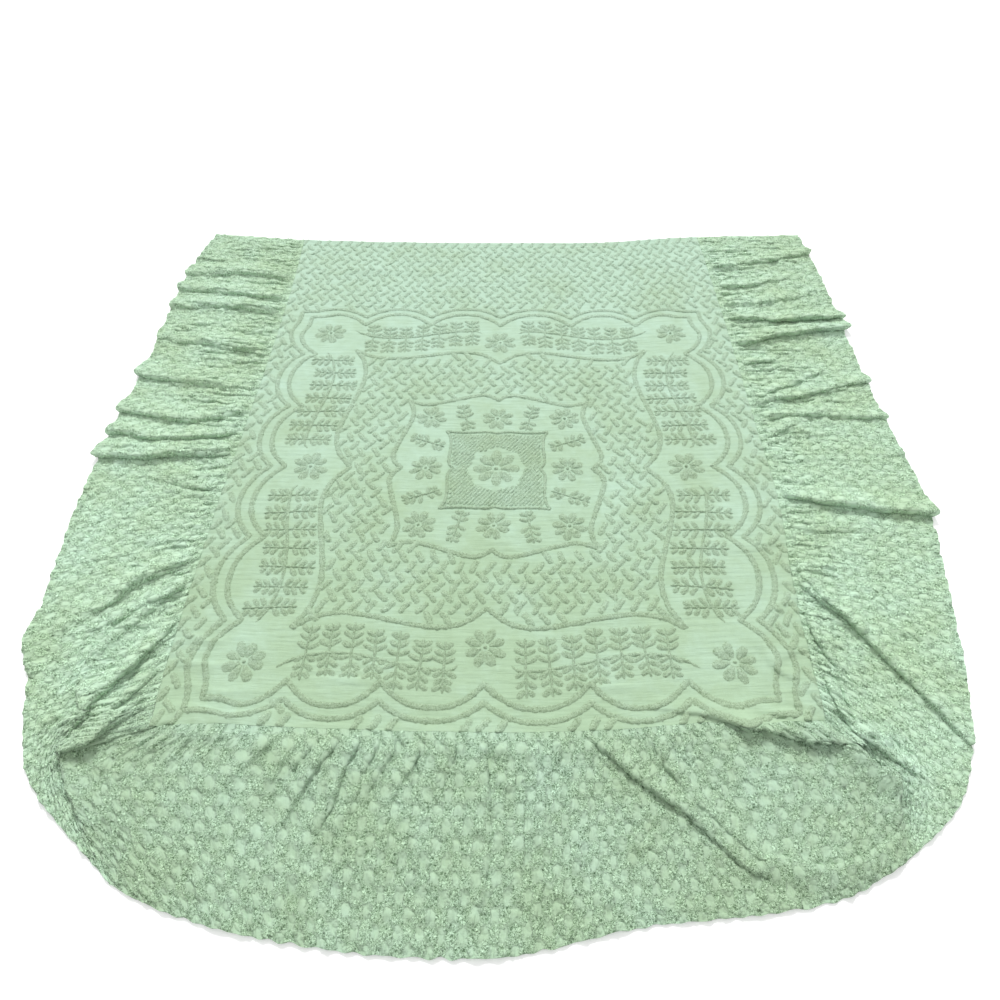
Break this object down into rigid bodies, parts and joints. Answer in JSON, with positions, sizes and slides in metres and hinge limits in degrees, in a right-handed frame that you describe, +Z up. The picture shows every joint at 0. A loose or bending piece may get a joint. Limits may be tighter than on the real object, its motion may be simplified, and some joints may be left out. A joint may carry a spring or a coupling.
{
  "type": "chenille bedspread",
  "caption": "Tufted cotton bedspread laid out flat: a rectangular centre panel with a gathered skirt spread around three sides and soft uneven folds.",
  "frame": {"origin": "on the surface the bedspread lies on, under the middle of its bounding box", "axes": "+Z up out of the laid cloth, +Y along the bedspread to its head end, +X to its right side seen from the foot"},
  "size_m": [3.0222, 3.0898, 0.0426],
  "materials": {
    "panel_cloth": "matte tufted cotton, pale mint green",
    "skirt_cloth": "matte densely tufted cotton, pale mint green"
  },
  "bodies": {
    "root": {"panel": "panel_cloth", "skirt_left": "skirt_cloth", "skirt_foot": "skirt_cloth", "skirt_right": "skirt_cloth"}
  },
  "joints": []
}
